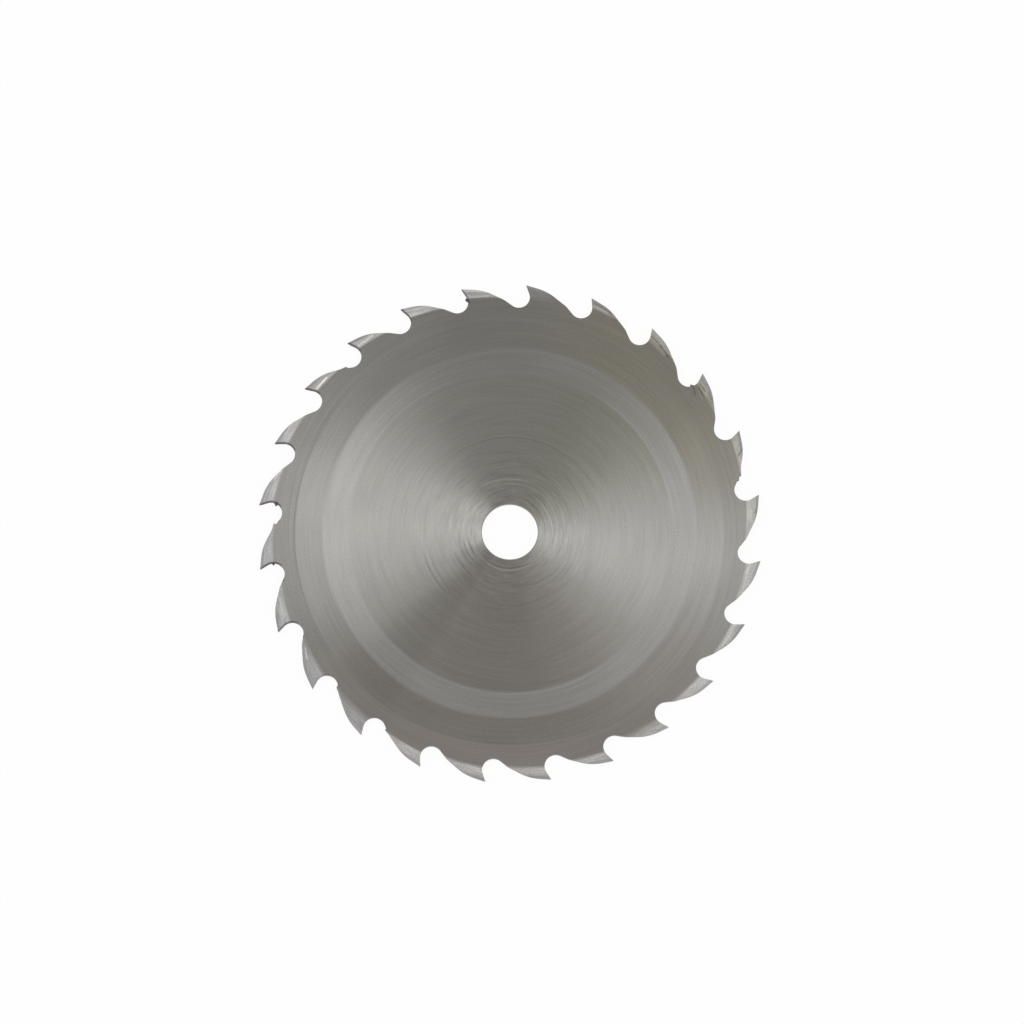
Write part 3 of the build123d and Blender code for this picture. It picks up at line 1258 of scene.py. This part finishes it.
def fresh_steel(finish, place, tooth, streaks):
    """The shader of the fresh steel: a tone for each tooth, marks along the top land.

    The level of its colour is the tone, which holds painted light and shade by
    direction, times 1 plus the marks and the streaks, whose lighter ones are painted glints.
    `lift` lightens the foot of the facet, and `tail` darkens its far end.
    """
    bands = land_marks(finish, tooth, 0.7 * MM, 9 * MM, 5.3, 2.0)
    lines = land_marks(finish, tooth, 0.25 * MM, 3 * MM, 3.1, 1.0)
    scratches = finish.noise(place.x / SCRATCH_SIZE, place.y / SCRATCH_SIZE, 0.0, 3.0)

    # painted light and shade by direction, plus a tone for each tooth
    tone = 1 + lobes(place, TOOTH_PAINTED_LIGHT) + by_tooth(tooth, TOOTH_TONES)
    lift = tooth.out.step(FACET_FOOT, TIP_RADIUS - 1.5 * MM, 0.12, -0.03)
    tail = tooth.ahead.step(-12 * MM, -5 * MM, -0.14, 0.0)
    marks = 0.6 * bands + 0.5 * lines + 0.6 * scratches
    level = tone * (1 + marks + lift + tail + streaks).at_least(DARKEST)

    colour = finish.blend(TOOTH_STEEL, COOL_STEEL, place.toward(185, 60))
    colour = finish.blend(colour, OLIVE_TOOTH, place.toward(30, 28))
    inputs = {
        "Base Color": finish.scaled(colour, level),
        "Roughness": 0.7 + 0.2 * bands,
        "Normal": finish.bump(bands + lines, 0.4, 0.02 * MM),
    }
    return finish.steel(inputs, {"Anisotropic": 0.2})


def tooth_side():
    """Ground steel, and beyond the facet's edge fresh steel, with the burns over both.

    The share of fresh steel is half, plus the distance past the edge divided
    by twice the softness, kept from 0 to 1.
    """
    finish = Finish("tooth_side")
    place = Place(finish)
    tooth = ToothPlace(finish, place)
    streaks = strokes(finish, tooth, STREAKS)
    ground = ground_steel(finish, place, {"beyond": 1.0, "rim": 1.0}, streaks)
    fresh = fresh_steel(finish, place, tooth, streaks)

    foot = FACET_FOOT + MM * by_tooth(tooth, FACET_SHIFTS)
    foot = foot + FACET_SLOPE * (tooth.ahead + 3 * MM)
    softness = FACET_SOFTNESS + WORN_SOFTNESS * by_tooth(tooth, SOFT_TEETH)
    share = ((place.radius - foot) / softness * 0.5 + 0.5).clamp()
    surface = finish.cover(ground, fresh, share)
    return finish.done(with_burns(finish, place, tooth, surface))


mesh.materials.append(tooth_side())

# %% [markdown]
# The bevel along each top land was ground last. It leans outwards, and the
# shade of that lean is painted into its colour, a greyer steel than the side
# it cuts into, with a trace of violet. It is a surface of its own, with a slot
# of its own, so it needs no mask.


# %% Write the bevels
# the bevel's steel is darker than the tooth side's: painted shade for its lean
SHADED_BEVEL_STEEL = (0.29, 0.285, 0.298)
VIOLET_SHADED_BEVEL_STEEL = (0.285, 0.275, 0.305)
# painted light and shade on the bevel: direction, angle to its ends, how much lighter it is
BEVEL_PAINTED_LIGHT = [(92, 78, 0.55), (272, 65, 0.65), (350, 40, -0.12)]
# painted light and shade on the bevel of some teeth, the glint on tooth 6 the brightest: how much
# lighter it is
BEVEL_PAINTED_LIGHT_BY_TOOTH = {
    1: 0.25, 2: 0.25, 3: 0.45, 6: 0.85, 7: 0.35, 12: -0.20, 13: -0.25,
    14: -0.15, 21: -0.15, 22: -0.20,
}


def bevel_face():
    """One grey steel darkened as painted shade, times painted light and shade for its direction and
    tooth, times 1 plus its marks.
    """
    finish = Finish("bevel_face")
    place = Place(finish)
    tooth = ToothPlace(finish, place)
    bands = land_marks(finish, tooth, 0.3 * MM, 4 * MM, 5.3, 2.0)
    x, y, z = (part / SCRATCH_SIZE for part in (place.x, place.y, place.z))
    scratches = finish.noise(x, y, z, 3.0)
    # painted light and shade, by direction and by tooth
    tone = (1 + lobes(place, BEVEL_PAINTED_LIGHT)) * (1 + by_tooth(tooth, BEVEL_PAINTED_LIGHT_BY_TOOTH))
    marks = 0.5 * bands + 0.5 * scratches + 0.7 * strokes(finish, tooth, STREAKS)
    colour = finish.blend(SHADED_BEVEL_STEEL, VIOLET_SHADED_BEVEL_STEEL, place.toward(248, 50))
    inputs = {
        "Base Color": finish.scaled(colour, tone * (1 + marks).at_least(DARKEST)),
        "Roughness": 0.5 + 0.2 * scratches,
        "Normal": finish.bump(scratches, 0.3, 0.02 * MM),
    }
    surface = finish.steel(inputs, {})
    return finish.done(with_burns(finish, place, tooth, surface))


mesh.materials.append(bevel_face())

# %% [markdown]
# ## The cut walls
#
# The outline was cut, not ground. Its walls are dark, with a trace of violet
# from the heat, and with marks that run across the thickness. On the side of
# the blade that faces the camera their colour is paler: painted light. The
# bore was turned, so its marks run round it. Both are one recipe, noise that
# is stretched in one direction, so they share a function that takes the
# period along each axis.


# %% Write the cut walls and the bore
WALL_STEEL = (0.085, 0.070, 0.088)
# a paler wall steel for the side that faces the camera: painted light
PAINTED_LIGHT_WALL_STEEL = (0.310, 0.290, 0.312)
BORE_STEEL = (0.30, 0.29, 0.28)


def marked_steel(finish, place, colour, roughness, periods):
    """A steel with one kind of mark: noise at (x, y, z), each divided by its period."""
    marks = finish.noise(place.x / periods[0], place.y / periods[1], place.z / periods[2], 3.0)
    inputs = {
        "Base Color": finish.scaled(colour, 1 + 0.7 * marks),
        "Roughness": roughness + 0.2 * marks,
        "Normal": finish.bump(marks, 0.4, 0.03 * MM),
    }
    return finish.steel(inputs, {})


def cut_wall():
    """Dark steel that blends into a paler one, painted light, toward the side that faces the camera,
    marked across.
    """
    finish = Finish("cut_wall")
    place = Place(finish)
    colour = finish.blend(WALL_STEEL, PAINTED_LIGHT_WALL_STEEL, place.toward(262, 82, 1.5).clamp())
    return finish.done(marked_steel(finish, place, colour, 0.55, (0.25 * MM, 0.25 * MM, 2 * MM)))


def bore_face():
    """Clean steel with marks that run round the bore: long in the plane, short along Z."""
    finish = Finish("bore_face")
    place = Place(finish)
    return finish.done(marked_steel(finish, place, BORE_STEEL, 0.4, (3 * MM, 3 * MM, 0.12 * MM)))


mesh.materials.append(cut_wall())
mesh.materials.append(bore_face())
print("finishes:", [material.name for material in mesh.materials])

# %% [markdown]
# ## The floor
#
# The blade lies on a wide white sweep that rises far away, so that no view
# finds its edge. A plane would end in a horizon. What the camera and the metal
# see of it is nearly all its own white, and the rest is lit by the lamps, which
# keeps the blade's shadow.

# %% Make the sweep
SWEEP_RADIUS = 8.0
SWEEP_RISE = 1.2
SWEEP_BEND = 0.8
SWEEP_RINGS = 25
SWEEP_SPOKES = 96
FIRST_RING = 0.05
FLOOR_WHITE = (0.9, 0.9, 0.9)
OWN_WHITE = 0.95


def sweep_floor():
    """A disc that curves up past its bend: height = rise (1 - cos a), a from 0 to 90."""
    out = np.linspace(0, 1, SWEEP_RINGS)
    turn = np.clip((out - SWEEP_BEND) / (1 - SWEEP_BEND), 0, 1) * math.pi / 2
    radius = np.concatenate([[0.0], SWEEP_RADIUS * (FIRST_RING + (1 - FIRST_RING) * out)])
    height = lowest.z + SWEEP_RISE * np.concatenate([[0.0], 1 - np.cos(turn)])
    flat = radius[:, None, None] * heading(np.linspace(0, 360, SWEEP_SPOKES + 1))
    grid = stand(flat, np.broadcast_to(height[:, None], flat.shape[:2]))
    floor_mesh = bpy.data.meshes.new("floor")
    quads = grid_faces(grid.shape, 0, True)
    floor_mesh.from_pydata(grid.reshape(-1, 3).tolist(), [], quads.tolist())
    sew(floor_mesh, MM)
    floor_mesh.shade_smooth()
    return floor_mesh


def floor_white():
    """Its own white where a camera, glossy or clear ray meets it, and lit white elsewhere."""
    finish = Finish("floor_white")
    camera_ray, glossy_ray, clear_ray = (
        finish.node("ShaderNodeLightPath", {}, {}, ray)
        for ray in ("Is Camera Ray", "Is Glossy Ray", "Is Transmission Ray")
    )
    seen = (camera_ray + glossy_ray + clear_ray).clamp()
    lit = finish.node("ShaderNodeBsdfDiffuse", {}, {"Color": FLOOR_WHITE})
    own = finish.node("ShaderNodeEmission", {}, {"Color": (1.0, 1.0, 1.0), "Strength": 1.0})
    return finish.done(finish.cover(lit, own, seen * OWN_WHITE))


floor = bpy.data.objects.new("floor", sweep_floor())
floor.data.materials.append(floor_white())
bpy.context.scene.collection.objects.link(floor)

# %% [markdown]
# ## The light
#
# Two large softboxes stand left and right of the blade and make the bright
# fans. An even, slightly warm room fills the rest. One lamp overhead would
# light the disc evenly and lose the fans. A softbox is described by where it
# stands, how large it is and how bright it looks, and its power follows from
# those. Directions in the photo are turned a few degrees against the blade's,
# so those of the softboxes are turned back by as much.

# %% Light the blade
ROOM_LEVEL = 0.47
ROOM_COLOUR = (1.0, 0.97, 0.91)
PHOTO_TURN = 8.65
SOFTBOX_ELEVATION = math.radians(42)
SOFTBOX_DISTANCE = 1.6
SOFTBOX_HEIGHT = 1.2
SOFTBOX_LEVEL = 2.42


def softbox(name, photo_azimuth, width):
    """A lamp whose face looks that bright: power = level * pi * width * height."""
    light = bpy.data.lights.new(name, "AREA")
    light.shape = "RECTANGLE"
    light.size = width
    light.size_y = SOFTBOX_HEIGHT
    light.energy = SOFTBOX_LEVEL * math.pi * width * SOFTBOX_HEIGHT
    lamp = bpy.data.objects.new(name, light)
    azimuth = math.radians(photo_azimuth - PHOTO_TURN)
    direction = Vector((
        math.cos(azimuth) * math.cos(SOFTBOX_ELEVATION),
        math.sin(azimuth) * math.cos(SOFTBOX_ELEVATION),
        math.sin(SOFTBOX_ELEVATION),
    ))
    lamp.location = direction * SOFTBOX_DISTANCE
    lamp.rotation_euler = direction.to_track_quat("Z", "Y").to_euler()
    lamp.visible_camera = False
    bpy.context.scene.collection.objects.link(lamp)
    return lamp


lamps = [softbox("left softbox", 174, 1.1), softbox("right softbox", 351, 1.0)]
print("power in watts:", {lamp.name: round(lamp.data.energy, 2) for lamp in lamps})

world = bpy.data.worlds.new("room")
world.use_nodes = True
background = world.node_tree.nodes["Background"]
background.inputs["Color"].default_value = (*ROOM_COLOUR, 1)
background.inputs["Strength"].default_value = ROOM_LEVEL
bpy.context.scene.world = world
bpy.context.scene.view_settings.view_transform = "Standard"
